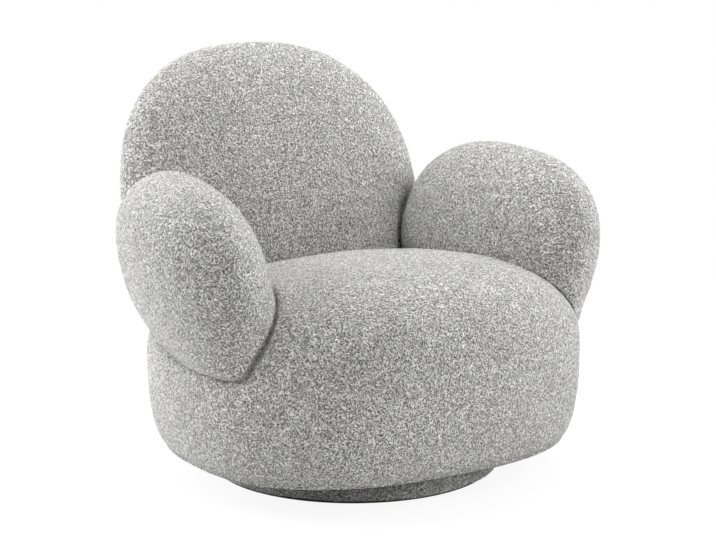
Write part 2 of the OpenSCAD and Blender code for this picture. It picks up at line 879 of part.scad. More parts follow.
// An arm's form on the sitter's left (side 1) or right (side -1)
module on_side(side) scale([side, 1, 1]) children();

module arm_foam(side)
    color([0.88, 0.84, 0.7])
        difference() {
            on_side(side) arm_form(foam_inset);
            pod_form(-gap);
            back_form(-gap);
            on_side(side) arm_panel_blank(gap);
        }

module left_arm_foam() arm_foam(1);

module right_arm_foam() arm_foam(-1);

module arm_cover(side)
    color([0.74, 0.73, 0.71])
        difference() {
            on_side(side) arm_form(0);
            on_side(side) arm_form(cover_t);
            pod_form(-gap);
            back_form(-gap);
        }

module left_arm_cover() arm_cover(1);

module right_arm_cover() arm_cover(-1);

glide_ring();
plinth_lower_board();
plinth_upper_board();
plinth_screws();
plinth_cover();
swivel_lower_plate();
swivel_hub();
lower_plate_screws();
swivel_balls();
ball_cage();
swivel_upper_plate();
upper_plate_screws();
base_board();
front_rail();
rear_rail();
left_rail();
right_rail();
corner_blocks();
frame_screws();
seat_springs();
spring_clips();
spring_pad();
dust_cover();
seat_foam();
seat_cover();
back_posts();
back_cross_rails();
back_panel();
back_foam();
back_cover();
left_arm_panel();
right_arm_panel();
left_arm_foam();
right_arm_foam();
left_arm_cover();
right_arm_cover();
frame_bolts();
tee_nuts();
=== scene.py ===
"""A swivel tub chair in boucle: its padded pieces, finishes, light and camera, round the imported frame."""

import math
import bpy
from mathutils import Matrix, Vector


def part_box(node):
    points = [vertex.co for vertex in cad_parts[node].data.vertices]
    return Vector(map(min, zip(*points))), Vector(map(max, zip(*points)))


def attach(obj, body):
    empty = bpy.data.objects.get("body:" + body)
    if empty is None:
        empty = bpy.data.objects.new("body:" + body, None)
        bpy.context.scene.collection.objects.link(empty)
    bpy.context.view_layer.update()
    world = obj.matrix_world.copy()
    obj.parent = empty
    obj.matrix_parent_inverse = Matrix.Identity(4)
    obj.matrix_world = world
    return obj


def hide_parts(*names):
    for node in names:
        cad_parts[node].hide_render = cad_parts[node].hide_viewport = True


bl_info = {
    "name": "Swivel tub chair",
    "version": (1, 0, 0),
    "blender": (4, 5, 0),
    "location": "View3D > Sidebar > Tub Chair",
    "description": "Upholsters and finishes a swivel tub chair round its frame",
    "category": "Object",
}

import bmesh
import bpy
import numpy as np
from bpy.props import FloatProperty, FloatVectorProperty, IntProperty, PointerProperty
from bpy.types import Operator, Panel, PropertyGroup
from mathutils import Euler, Vector, noise

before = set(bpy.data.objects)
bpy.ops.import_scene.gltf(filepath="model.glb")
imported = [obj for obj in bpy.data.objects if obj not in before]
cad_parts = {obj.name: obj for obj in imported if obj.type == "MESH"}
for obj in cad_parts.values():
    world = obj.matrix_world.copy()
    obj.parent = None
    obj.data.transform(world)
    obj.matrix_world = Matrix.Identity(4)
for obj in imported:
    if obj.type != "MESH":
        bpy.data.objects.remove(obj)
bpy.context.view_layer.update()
SEAT_LOW, SEAT_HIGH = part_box("seat_cover")
BAND_LOW, BAND_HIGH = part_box("plinth_cover")
RING_LOW, RING_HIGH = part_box("glide_ring")
DUST_LOW, DUST_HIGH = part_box("dust_cover")
PAD_LOW, PAD_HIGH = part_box("spring_pad")
BOARD_LOW, BOARD_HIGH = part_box("base_board")

# Powers of the forms' superellipses: 2 is an ellipse, and a higher power is squarer
SEAT_OUTLINE, SEAT_CROWN, SEAT_SKIRT = 2.45, 2.42, 3.36
ARM_OUTLINE, ARM_FACE = 2.38, 2.17
BACK_OUTLINE, BACK_FACE = 2.39, 1.94
# How much narrower an arm is toward one end and its top, and the back toward its top
ARM_EGG, ARM_TOP, BACK_THIN = 0.094, 0.07, 0.2

# Where the rays of a pebble leave from, in its own axes
ARM_HEART, BACK_HEART = (0.01, -0.03, 0.05), (0.0, 0.02, 0.06)

# Faces of a cover along x, y and z before it is refined
SEAT_FACES, ARM_FACES, BACK_FACES = (60, 52, 26), (18, 36, 28), (50, 18, 46)
PAD_FACES = (31, 27, 1)

# Sizes of the padding's broad unevenness and of its lumps, and the share that the lumps have in it
BROAD, LUMP, LUMP_SHARE = 0.11, 0.035, 0.35

# A loop's middle stands this many naps proud, and the cover drops this many more beside it
LOOP_TOP, LOOP_DROP = 0.9, 2.2

# Width of the loops in the mesh, in loops of the finish, and the share of the nap on the plinth
MESH_LOOP, BAND_NAP = 1.5, 0.7

# A cover is held wholly where a neighbour cuts this deep into its form
HELD_FROM = 0.02

# The cover is held up to the first height above the seat's underside, and free past the second more
HELD_UP_TO, FREE_AFTER = 0.004, 0.03

# How far inside the seat's outline the lowest ring of its cover lies, in widths of its margin
TURNED_IN = 1.9

# Room between the seat's cover and the frame inside it: beside it, round the board, under it, over it
BESIDE, ROUND, UNDER, OVER = 0.008, 0.0005, 0.0003, 0.002

# The hole in the dust cloth, the points round it and the rings between it and the rim
DUST_HOLE, DUST_POINTS, DUST_RINGS = 0.1626, 176, 7

# How far the cloth hangs under its board, and its staples under the cloth
DUST_DROP, STAPLE_DROP = 0.0008, 0.0013

# A staple's size and skew, and where it sits as a share of the cloth's rim
STAPLE, ASKEW, STAPLE_AT = (0.0011, 0.0105, 0.0006), 0.06, 0.985

FELT_WIDTH = 0.03
LAMPS_AIM = Vector((0, 0, 0.4))


def number(name, default, description, **kind):
    return FloatProperty(name=name, default=default, description=description, **kind)


def distance(name, default, description):
    return number(name, default, description, subtype="DISTANCE", unit="LENGTH")


def angle(name, degrees, description):
    return number(name, math.radians(degrees), description, subtype="ANGLE", unit="ROTATION")


def colour(name, default, description):
    return FloatVectorProperty(
        name=name, default=default, description=description, subtype="COLOR", size=3, min=0, max=1
    )


class SeatSizes(PropertyGroup):
    width: distance("Width", SEAT_HIGH.x - SEAT_LOW.x, "Width of the seat at its widest line")
    ahead: distance("Ahead", 0.061, "How far the widest point lies in front of the swivel axis")
    front: distance("Front", 0.323, "Depth of the seat in front of its widest point")
    rear: distance("Rear", 0.397, "Depth of the seat behind its widest point")
    floor: distance("Underside", SEAT_LOW.z, "Height of the flat underside above the floor")
    height: distance("Height", 0.36, "Height of the seat from its underside to its crown")
    waist: distance("Waist", 0.179, "Height of the widest line above the underside")
    sweep: distance("Sweep", 0.278, "Depth below the widest line at which the lower curve would close")
    rake: angle("Rake", 5.5, "Fall of the crown toward the back")
    rim: distance("Rim", 0.01, "Softness of the lower rim")
    margin: distance("Margin", 0.045, "Width of the fabric that is turned under the base board")


class ArmSizes(PropertyGroup):
    length: distance("Length", 0.484, "Length of an arm from front to back")
    height: distance("Height", 0.37, "Height of an arm")
    thickness: distance("Thickness", 0.23, "Thickness of an arm")
    inset: distance("Inset", 0.061, "How far an arm's middle lies inside the seat's widest point")
    ahead: distance("Ahead", 0.336, "How far an arm's middle lies in front of the seat's rear")
    sink: distance("Sink", 0.002, "How far an arm's middle lies below the seat's crown")
    lean: angle("Lean", 15.7, "Outward lean of an arm")
    turn: angle("Turn", 11.0, "Turn of an arm's front end outward")
    full: number("Fullness", 0.045, "Extra fullness of an arm's rear top and front bottom")
    tip: number("Tip", 0.06, "Extra reach of the blunt tip at an arm's front bottom")
    tip_at: angle("Tip place", 31.0, "How far round the arm's outline the tip lies, from its front end down")
    tip_wide: angle("Tip width", 7.0, "Half width of the tip round the arm's outline")
    dip: angle("Dip", 10.1, "Fall of an arm's front end")


class BackSizes(PropertyGroup):
    side_in: distance("Side inset", 0.066, "How far each side of the back lies inside the seat's side")
    thickness: distance("Thickness", 0.241, "Thickness of the back")
    up: distance("Rise", 0.364, "Height of the back above its widest line")
    down: distance("Drop", 0.32, "Depth of the back below its widest line")
    inset: distance("Inset", 0.026, "How far the back's middle lies in front of the seat's rear")
    above: distance("Above", 0.028, "How far the back's widest line lies above the seat's crown")
    rake: angle("Rake", 16.8, "Backward lean of the back")
    curl: distance("Curl", 0.033, "Forward curl of the back's side edges")


class PlinthSizes(PropertyGroup):
    rounding: distance("Rounding", 0.008, "Rounding of the plinth's edges")
    margin: distance("Margin", 0.045, "Width of the fabric that is turned over the top and the bottom")
    fabric: distance("Fabric", 0.003, "Thickness of the fabric")
    felt_round: distance("Felt rounding", 0.0012, "Rounding of the felt ring's edges")


class PaddingLook(PropertyGroup):
    swell: distance("Swell", 0.006, "How far the padding swells its cover out to fill its form")
    most: distance("Most", 0.012, "The furthest that any point of a cover may swell")
    pressure: number("Pressure", 5.0, "Pressure of the padding inside its cover")
    hold: number("Hold", 0.16, "How firmly the foam holds the cover where it lies")
    tuck: distance("Tuck", 0.008, "Softness of the crease where one form meets another")
    gap: distance("Gap", 0.002, "Distance between the forms where they meet")
    press: distance("Press", 0.009, "How deep the forms press into each other where they meet")
    fade: distance("Press width", 0.014, "Width over which a cover sinks toward a form pressed into it")
    uneven: distance("Unevenness", 0.0016, "How far the padding is from even")


class BoucleLook(PropertyGroup):
    light: colour("Light loops", (0.98, 0.97, 0.915), "Colour of the cream loops")
    middle: colour("Grey loops", (0.72, 0.712, 0.665), "Colour of the grey loops")
    # This dark colour serves both the yarn's dark flecks and the painted shade in the hollows between the
    # loops
    dark: colour("Dark flecks", (0.095, 0.094, 0.089), "Colour of the dark grey flecks")
    loop: distance("Loop size", 0.0032, "Width of one loop of the yarn")
    nap: distance("Nap", 0.0009, "Height of the loops in the mesh")
    relief: distance("Relief", 0.006, "Height of the loops in the finish")


class WoodLook(PropertyGroup):
    birch: colour("Birch", (0.74, 0.60, 0.42), "Colour of the birch plies")
    birch_dark: colour("Glue lines", (0.42, 0.29, 0.17), "Colour of the crosswise plies and glue lines")
    beech: colour("Beech", (0.71, 0.50, 0.33), "Colour of the beech between its grain lines")
    beech_dark: colour("Beech grain", (0.48, 0.29, 0.16), "Colour of the beech grain lines")
    ply: distance("Ply", 0.0015, "Thickness of one ply")


class MetalLook(PropertyGroup):
    zinc: colour("Zinc", (0.58, 0.59, 0.61), "Colour of the zinc-plated steel")
    bearing: colour("Bearing steel", (0.72, 0.72, 0.73), "Colour of the balls")
    spring: colour("Spring steel", (0.20, 0.20, 0.21), "Colour of the springs")
    nylon: colour("Nylon", (0.16, 0.19, 0.24), "Colour of the ball cage")


class ClothLook(PropertyGroup):
    felt: colour("Felt", (0.055, 0.055, 0.06), "Colour of the felt ring")
    pad: colour("Spring felt", (0.24, 0.23, 0.22), "Colour of the felt pad over the springs")
    dust: colour("Dust cloth", (0.022, 0.022, 0.024), "Colour of the cloth under the seat")
    sag: distance("Sag", 0.0012, "How far the dust cloth sags between its staples")
    staples: IntProperty(name="Staples", default=44, description="Number of staples round the dust cloth")


class StageLook(PropertyGroup):
    azimuth: angle("Azimuth", -33.6351, "Direction of the camera round the chair, from its front")
    elevation: angle("Elevation", 11.3359, "Height of the camera as an angle above the horizon")
    away: distance("Distance", 4.1429, "Distance of the camera from the point that it looks at")
    aside: distance("Aside", 0.0092, "How far that point lies to the side of the swivel axis")
    level: distance("Level", 0.3861, "Height of that point above the floor")
    lens: number("Lens", 107.512, "Focal length of the camera in millimetres")
    floor: colour("Floor", (0.72, 0.72, 0.72), "Colour of the floor")
    glow: number("Floor glow", 0.9, "Share of plain white in the floor near the chair")
    above: number("Above", 144, "Power of the large lamp above, in watts")
    left: number("Left", 138, "Power of the large lamp at the picture's left, in watts")
    right: number("Right", 80, "Power of the large lamp at the picture's right, in watts")
    front: number("Front", 76, "Power of the large lamp in front, in watts")
    sky: number("Sky", 0.04, "Strength of the light from all round")


GROUPS = {
    "seat": SeatSizes,
    "arms": ArmSizes,
    "back": BackSizes,
    "plinth": PlinthSizes,
    "padding": PaddingLook,
    "boucle": BoucleLook,
    "wood": WoodLook,
    "metal": MetalLook,
    "cloth": ClothLook,
    "stage": StageLook,
}


def chosen(name):
    """One of the groups above, as the scene has it."""
    return getattr(bpy.context.scene, "chair_" + name)


# Forms: each level is below 1 inside a form and above 1 outside it


def superellipse(x, y, power):
    return (np.abs(x) ** power + np.abs(y) ** power) ** (1 / power)


def seat_middle():
    seat = chosen("seat")
    return np.array((0.0, -seat.ahead, seat.floor + seat.waist))


def crown_height():
    seat = chosen("seat")
    return seat.floor + seat.height


def seat_outline(x, y):
    """How far out a point lies in the seat's plan, as a share of its widest outline."""
    seat = chosen("seat")
    reach = np.where(y < 0, seat.front, seat.rear)
    return superellipse(x / (seat.width / 2), y / reach, SEAT_OUTLINE)


def seat_level(points):
    seat = chosen("seat")
    x, y, up = (points - seat_middle()).T
    out = seat_outline(x, y)
    crown = seat.height - seat.waist - math.tan(seat.rake) * y
    skirt = superellipse(out, up / seat.sweep, SEAT_SKIRT)
    return np.where(up > 0, superellipse(out, up / crown, SEAT_CROWN), skirt)


class Form:
    """A leaning form, with a level in its own axes and its place in the chair."""

    def __init__(self, level, halves, middle, turn):
        self.own_level, self.halves, self.middle = level, np.array(halves), np.array(middle)
        self.turned = np.array(Euler(turn, "XYZ").to_matrix())

    def level(self, points):
        return self.own_level((points - self.middle) @ self.turned)


def arm_form():
    """The sitter's left arm."""
    arm, seat = chosen("arms"), chosen("seat")
    half_t, half_l, half_h = arm.thickness / 2, arm.length / 2, arm.height / 2

    def level(points):
        x, y, z = points.T
        y = y / (1 - ARM_TOP * z / half_h)
        z = z / (1 - ARM_EGG * y / half_l)
        from_tip = np.arctan2(-z / half_h, -y / half_l) - arm.tip_at
        fuller = 1 + arm.full * np.clip(y * z / half_l / half_h, 0, 1)
        fuller += arm.tip * np.exp(-((from_tip / arm.tip_wide) ** 2))
        y, z = y / fuller, z / fuller
        return superellipse(superellipse(y / half_l, z / half_h, ARM_OUTLINE), x / half_t, ARM_FACE)

    middle = (seat.width / 2 - arm.inset, seat.rear - seat.ahead - arm.ahead, crown_height() - arm.sink)
    return Form(level, (half_t, half_l, half_h), middle, (arm.dip, arm.lean, arm.turn))


def back_form():
    back, seat = chosen("back"), chosen("seat")
    half_w, half_t = seat.width / 2 - back.side_in, back.thickness / 2

    def level(points):
        x, y, z = points.T
        y = y + back.curl * (x / half_w) ** 2
        thick = half_t * (1 - BACK_THIN * np.clip(z / back.up, -1, 1))
        rise = np.where(z > 0, back.up, back.down)
        return superellipse(superellipse(x / half_w, z / rise, BACK_OUTLINE), y / thick, BACK_FACE)

    middle = (0, seat.rear - seat.ahead - back.inset, crown_height() + back.above)
    return Form(level, (half_w, half_t, back.up), middle, (-back.rake, 0, 0))


def reach(level, start, rays, far, inside):
    """How far each ray goes from start before it leaves a form, or enters it where it starts outside."""
    low, high = np.zeros(len(rays)), np.array(far, float) * np.ones(len(rays))
    for _ in range(26):  # Each turn halves the error
        mid = (low + high) / 2
        still = (level(start + rays * mid[:, None]) < 1) == inside
        low, high = np.where(still, mid, low), np.where(still, high, mid)
    return low


def reach_before(level, start, rays, own, beyond):
    """How far each ray may go before it meets another form, if that is at most a little past own."""
    far = own + beyond
    meets = level(start + rays * far[:, None]) < 1
    return np.where(meets, reach(level, start, rays, far, False), np.inf)


def soft_min(a, b, softness):
    """The lesser of two reaches, rounded off where they are nearly the same."""
    near = np.clip(1 - np.abs(a - np.minimum(b, 1e3)) / softness, 0, 1)
    return np.minimum(a, b) - near**2 * softness / 4


def unit(rows):
    return rows / np.linalg.norm(rows, axis=1)[:, None]


# Meshes


def cut_cube(size, counts):
    """A cube cut into counts faces along x, y and z."""
    bm = bmesh.new()
    bmesh.ops.create_cube(bm, size=size)
    for axis, count in enumerate(counts):
        along = [e for e in bm.edges if abs(e.verts[0].co[axis] - e.verts[1].co[axis]) > size / 2]
        if count > 1:
            bmesh.ops.subdivide_edges(bm, edges=along, cuts=count - 1)
    return bm


def cut_ball(counts):
    """A ball of quads: a cut cube swung out, even in angle."""
    bm = cut_cube(2, counts)
    for v in bm.verts:
        v.co = Vector([math.tan(c * math.pi / 4) for c in v.co]).normalized()
    return bm


def points_of(mesh):
    rows = np.empty(len(mesh.vertices) * 3)
    mesh.vertices.foreach_get("co", rows)
    return rows.reshape(-1, 3)


def move_to(mesh, rows):
    mesh.vertices.foreach_set("co", np.asarray(rows, np.float32).ravel())
    mesh.update()


def normals_of(mesh):
    rows = np.empty(len(mesh.vertices) * 3, np.float32)
    mesh.vertex_normals.foreach_get("vector", rows)
    return rows.reshape(-1, 3)


def mesh_from(bm, name):
    mesh = bpy.data.meshes.new(name)
    bm.to_mesh(mesh)
    bm.free()
    return mesh


def kept_above(mesh, lowest):
    rows = points_of(mesh)
    rows[:, 2] = np.maximum(rows[:, 2], lowest)
    move_to(mesh, rows)


def line_through(places, closed=False):
    """A line in the plane of the swivel axis, to be spun round it."""
    bm = bmesh.new()
    corners = [bm.verts.new((x, 0, z)) for x, z in places]
    for pair in zip(corners, corners[1:] + corners[:1] if closed else corners[1:]):
        bm.edges.new(pair)
    bm.verts.ensure_lookup_table()
    return bm


def bevelled(bm, geom, offset, segments, affect):
    bmesh.ops.bevel(
        bm, geom=geom, offset=offset, affect=affect, segments=segments, profile=0.5, material=-1
    )


def spun(bm, name, steps):
    """The mesh of a line spun round the swivel axis."""
    turn = {"cent": (0, 0, 0), "axis": (0, 0, 1), "angle": math.tau}
    bmesh.ops.spin(bm, geom=bm.verts[:] + bm.edges[:], steps=steps, use_merge=True, **turn)
    bmesh.ops.recalc_face_normals(bm, faces=bm.faces)
    return mesh_from(bm, name)


def new_object(name, data):
    made = bpy.data.objects.new(name, data)
    bpy.context.scene.collection.objects.link(made)
    return made


def finished_piece(name, mesh, body, material, replaces=()):
    """Shades a mesh smooth and puts it in the scene as a piece that rides on a body of the frame."""
    mesh.polygons.foreach_set("use_smooth", np.ones(len(mesh.polygons), bool))
    mesh.materials.append(material)
    piece = new_object(name, mesh)
    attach(piece, body)
    if replaces:
        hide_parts(*replaces)
    return piece


def with_modifiers(mesh, name, prepare):
    """The mesh that comes out of the modifiers that prepare gives to an object holding it."""
    trial = new_object(name, mesh)
    prepare(trial)
    ready = trial.evaluated_get(bpy.context.evaluated_depsgraph_get())
    shaped = bpy.data.meshes.new_from_object(ready)
    bpy.data.objects.remove(trial)
    return shaped


def swollen(mesh, held, frames=20):
    """Where a cover's points lie after its padding has swelled it, with the held points kept in place."""
    scene, padding = bpy.context.scene, chosen("padding")
    start = points_of(mesh)
    trial = new_object("swelling", mesh)
    group = trial.vertex_groups.new(name="held")
    for index in np.nonzero(held > 0)[0]:
        group.add([int(index)], float(held[index]), "REPLACE")
    cloth = trial.modifiers.new("Cloth", "CLOTH")
    fabric = cloth.settings
    fabric.quality = 4
    fabric.mass = 0.4
    fabric.tension_stiffness = fabric.compression_stiffness = 15
    fabric.shear_stiffness = 8
    fabric.bending_stiffness = 3
    fabric.tension_damping = fabric.compression_damping = 15
    fabric.vertex_group_mass = group.name
    fabric.use_pressure = True
    fabric.uniform_pressure_force = padding.pressure
    fabric.effector_weights.gravity = 0
    cloth.point_cache.frame_start, cloth.point_cache.frame_end = 1, frames
    for step in range(1, frames + 1):
        scene.frame_set(step)
    shaped = trial.evaluated_get(bpy.context.evaluated_depsgraph_get()).to_mesh()
    moves = points_of(shaped) - start
    bpy.data.objects.remove(trial)
    scene.frame_set(1)
    length = np.linalg.norm(moves, axis=1)
    capped = padding.most * np.tanh(length / padding.most)
    return start + moves * (capped / np.maximum(length, 1e-9))[:, None]


def filled(mesh, start, rays, reaches, held):
    """The rays and reaches of a cover's points once its padding has swelled it out to fill its form."""
    padding = chosen("padding")
    small = reaches - padding.swell * (1 - held)
    move_to(mesh, start + rays * small[:, None])
    moved = swollen(mesh, np.maximum(held, padding.hold)) - start
    length = np.linalg.norm(moved, axis=1)
    out = length - small
    out = np.clip(out - out[held < 0.02].mean(), -padding.swell / 2, padding.swell / 2)
    return moved / length[:, None], reaches + out * (1 - held)


def refined(mesh, levels):
    """The mesh subdivided and smoothed a number of times."""

    def prepare(trial):
        finer = trial.modifiers.new("Finer", "SUBSURF")
        finer.levels = finer.render_levels = levels

    return with_modifiers(mesh, "refining", prepare)


def napped(mesh, share=1.0):
    """Raises the loops of the boucle on a mesh, and makes its padding a little uneven."""
    rows, out = points_of(mesh), normals_of(mesh)
    boucle, uneven = chosen("boucle"), chosen("padding").uneven
    near = (rows / (MESH_LOOP * boucle.loop)).tolist()
    aside = np.array([noise.voronoi(p, distance_metric="DISTANCE")[0][0] for p in near])
    broad = np.array([noise.noise(p) for p in (rows / BROAD).tolist()])
    lumps = np.array([noise.noise(p) for p in (rows / LUMP).tolist()])
    loops = boucle.nap * share * (LOOP_TOP - LOOP_DROP * aside)
    lift = loops + uneven * (broad + LUMP_SHARE * lumps)
    move_to(mesh, rows + out * lift[:, None])
    return mesh


def pressed(mesh, forms):
    """Presses a cover in where other forms rest against it, on both sides of the chair."""
    padding = chosen("padding")
    rows = points_of(mesh)
    sink = np.zeros(len(rows))
    folded = np.column_stack((np.abs(rows[:, 0]), rows[:, 1:]))
    for form in forms:
        away = np.linalg.norm(folded - form.middle, axis=1) * (1 - 1 / form.level(folded))
        sink = np.maximum(sink, np.clip(1 - away / padding.fade, 0, 1) ** 2)
    move_to(mesh, rows - normals_of(mesh) * (padding.press * sink)[:, None])


def pebble(name, form, counts, heart, others, pressed_by=()):
    """A padded form: swelled by its padding, creased where it meets the others, and napped."""
    padding = chosen("padding")
    start = form.middle + form.turned @ np.array(heart)
    mesh = mesh_from(cut_ball(counts), name)
    # The rays to the cover's points leave from the heart, which lies clear of the other forms
    surface = points_of(mesh) * form.halves
    lengths = reach(form.own_level, np.zeros(3), unit(surface), 2 * form.halves.max(), True)
    wanted = form.middle + (unit(surface) * lengths[:, None]) @ form.turned.T
    rays = unit(wanted - start)

    def limited(rays, own, softness):
        for other in others:
            meets = reach_before(other, start, rays, own, softness) + padding.press - padding.gap
            own = soft_min(own, meets, softness)
        return own

    full = reach(form.level, start, rays, 2 * form.halves.max(), True)
    inside = limited(rays, full, 2 * padding.tuck)
    held = np.clip((full - inside) / HELD_FROM, 0, 1)
    rays, grown = filled(mesh, start, rays, inside, held)
    full = full + grown - inside
    move_to(mesh, start + rays * full[:, None])
    # The crease is cut in the fine mesh, where it comes out crisp
    mesh = refined(mesh, 2)
    out = points_of(mesh) - start
    rays, full = unit(out), np.linalg.norm(out, axis=1)
    move_to(mesh, start + rays * limited(rays, full, padding.tuck)[:, None])
    pressed(mesh, pressed_by)
    return napped(mesh)


# Node trees

GROUP_ENDS = {"Color": "Color", "Roughness": "Float", "Height": "Float"}


def add(tree, kind, inputs=(), **settings):
    """A shader node with its settings, and each of its inputs linked to a socket or set to a value."""
    made = tree.nodes.new("ShaderNode" + kind)
    for name, value in settings.items():
        setattr(made, name, value)
    for name, value in dict(inputs).items():
        if isinstance(value, bpy.types.NodeSocket):
            tree.links.new(value, made.inputs[name])
        else:
            made.inputs[name].default_value = value
    return made


def sums(tree, operation, *values, clamp=False):
    settings = {"operation": operation, "use_clamp": clamp}
    return add(tree, "Math", enumerate(values), **settings).outputs[0]


def vectors(tree, operation, inputs, output=0):
    return add(tree, "VectorMath", inputs, operation=operation).outputs[output]


def stretched(tree, vector, **inputs):
    return add(tree, "Mapping", {"Vector": vector, **inputs}).outputs[0]


def noise_of(tree, vector, scale, output="Fac", **inputs):
    inputs = {"Vector": vector, "Scale": scale, **inputs}
    return add(tree, "TexNoise", inputs).outputs[output]


def blend(tree, factor, a, b, kind="MIX"):
    settings = {"data_type": "RGBA", "blend_type": kind}
    return add(tree, "Mix", {0: factor, 6: a, 7: b}, **settings).outputs[2]


def grey(tree, tone):
    return add(tree, "CombineColor", {0: tone, 1: tone, 2: tone}).outputs[0]


def spread(tree, value, low, high, to_low=0.0, to_high=1.0):
    """A value taken from one range to another, and kept in it."""
    inputs = {"Value": value, "From Min": low, "From Max": high, "To Min": to_low, "To Max": to_high}
    return add(tree, "MapRange", inputs).outputs[0]


def mixed_shader(tree, factor, a, b):
    return add(tree, "MixShader", {0: factor, 1: a, 2: b}).outputs[0]


def plainly_seen(tree):
    """1 for what the camera sees, straight or in gloss and glass, and 0 for what only lights."""
    path = add(tree, "LightPath").outputs
    seen = sums(tree, "MAXIMUM", path["Is Camera Ray"], path["Is Glossy Ray"])
    return sums(tree, "MAXIMUM", seen, path["Is Transmission Ray"])


def new_group(name, inputs, outputs):
    """An empty node group, with the sockets that it starts from and ends in. Each name gives a kind."""
    tree = bpy.data.node_groups.new(name, "ShaderNodeTree")
    for side, sockets in (("INPUT", inputs), ("OUTPUT", outputs)):
        for socket, kind in sockets.items():
            tree.interface.new_socket(name=socket, in_out=side, socket_type="NodeSocket" + kind)
    start, end = tree.nodes.new("NodeGroupInput"), tree.nodes.new("NodeGroupOutput")
    return tree, start.outputs, end.inputs


def give(tree, end, **values):
    for name, value in values.items():
        tree.links.new(value, end[name])


def ridges(tree, value, sharpness):
    """Lines along which a noise crosses its middle value."""
    away = sums(tree, "ABSOLUTE", sums(tree, "SUBTRACT", value, 0.5))
    return sums(tree, "SUBTRACT", 1.0, sums(tree, "MULTIPLY", away, sharpness), clamp=True)


def loops_group(name):
    """Curled loops of yarn in two shades, with dark flecks, and painted shade in the hollows between the
    loops.
    """
    ends = {"Vector": "Vector", "Scale": "Float", "Light": "Color", "Middle": "Color", "Dark": "Color"}
    tree, start, end = new_group(name, ends, {"Color": "Color", "Height": "Float"})
    at, scale = start["Vector"], start["Scale"]

    def field(factor, detail, vector=at, output="Fac"):
        return noise_of(tree, vector, sums(tree, "MULTIPLY", scale, factor), output, Detail=detail)

    off = vectors(tree, "SUBTRACT", {0: field(0.6, 1.0, output="Color"), 1: (0.5, 0.5, 0.5)})
    curl = vectors(tree, "SCALE", {0: off, "Scale": sums(tree, "DIVIDE", 1.6, scale)})
    bent = vectors(tree, "ADD", {0: at, 1: curl})
    cells = add(tree, "TexVoronoi", {"Vector": bent, "Scale": scale}, feature="F1")
    slope = sums(tree, "MULTIPLY", cells.outputs["Distance"], 1.25)
    nub = sums(tree, "SUBTRACT", 1.0, slope, clamp=True)
    strand = ridges(tree, field(0.9, 0.0, bent), 6.0)
    height = sums(tree, "ADD", sums(tree, "MULTIPLY", nub, 0.5), sums(tree, "MULTIPLY", strand, 0.5))
    shades = add(tree, "SeparateColor", {0: cells.outputs["Color"]}).outputs
    patch = spread(tree, field(0.22, 2.0), 0.3, 0.7, -0.12, 0.12)
    tone = sums(tree, "ADD", shades[0], patch, clamp=True)
    loops = blend(tree, tone, start["Middle"], start["Light"])
    fleck = sums(tree, "MULTIPLY", spread(tree, shades[1], 0.74, 0.8, 0.0, 0.9), strand)
    # Painted shade: where the loops' height is low, the colour darkens toward the dark colour, standing in
    # for the shade that falls in the hollows between loops
    painted_hollow_shade = spread(tree, height, 0.27, 0.45, 0.95, 0.0)
    # The mix toward the dark colour takes the greater of the yarn's dark flecks and the painted hollow shade
    shade = sums(tree, "MAXIMUM", fleck, painted_hollow_shade)
    give(tree, end, Color=blend(tree, shade, loops, start["Dark"]), Height=height)
    return tree


def grain_group(name):
    """Long wood grain along its own x, with fine pores."""
    ends = {"Vector": "Vector", "Light": "Color", "Dark": "Color"}
    tree, start, end = new_group(name, ends, GROUP_ENDS)
    at = start["Vector"]
    rings = noise_of(tree, stretched(tree, at, Scale=(1.6, 22.0, 22.0)), 2.2, Detail=5.0, Roughness=0.6)
    lines = sums(tree, "FRACT", sums(tree, "MULTIPLY", rings, 9.0))
    pores = noise_of(tree, stretched(tree, at, Scale=(40.0, 900.0, 900.0)), 1.0, Detail=2.0)
    dark_pores = spread(tree, pores, 0.5, 0.75, 0.0, 0.4)
    shade = sums(tree, "ADD", sums(tree, "MULTIPLY", lines, 0.45), dark_pores, clamp=True)
    colour_out = blend(tree, shade, start["Light"], start["Dark"])
    height = sums(tree, "SUBTRACT", 1.0, spread(tree, pores, 0.45, 0.8))
    give(tree, end, Color=colour_out, Height=height, Roughness=spread(tree, shade, 0.0, 1.0, 0.55, 0.72))
    return tree


def fibre_group(name):
    """Matted short fibres, for felt and non-woven cloth."""
    ends = {"Vector": "Vector", "Scale": "Float", "Shade": "Color"}
    tree, start, end = new_group(name, ends, {"Color": "Color", "Height": "Float"})
    at, scale, shade = (start[key] for key in ends)
    threads = ridges(tree, noise_of(tree, at, scale, Detail=4.0, Distortion=1.6), 8.0)
    paler = blend(tree, 1.0, shade, (1.9, 1.9, 1.9, 1), "MULTIPLY")
    mixed = blend(tree, sums(tree, "MULTIPLY", threads, 0.5), shade, paler)
    give(tree, end, Color=mixed, Height=threads)
    return tree


def wear_group(name):
    """Handling marks and a mottled tone, for metal and moulded pieces."""
    ends = {"Vector": "Vector", "Tone": "Color", "Smooth": "Float"}
    tree, start, end = new_group(name, ends, GROUP_ENDS)
    at = start["Vector"]
    cloud = noise_of(tree, at, 45.0, Detail=3.0)
    spots = add(tree, "TexVoronoi", {"Vector": at, "Scale": 230.0}).outputs["Color"]
    spot = add(tree, "SeparateColor", {0: spots}).outputs[0]
    tone = spread(tree, spot, 0.0, 1.0, -0.05, 0.05)
    shade = grey(tree, sums(tree, "ADD", spread(tree, cloud, 0.3, 0.7, 0.82, 1.05), tone))
    marks = noise_of(tree, stretched(tree, at, Scale=(90.0, 1400.0, 1400.0)), 1.0, Detail=1.0)
    rougher = spread(tree, cloud, 0.3, 0.7, -0.06, 0.1)
    rough = sums(tree, "ADD", start["Smooth"], rougher, clamp=True)
    toned = blend(tree, 1.0, start["Tone"], shade, "MULTIPLY")
    give(tree, end, Color=toned, Roughness=rough, Height=marks)
    return tree


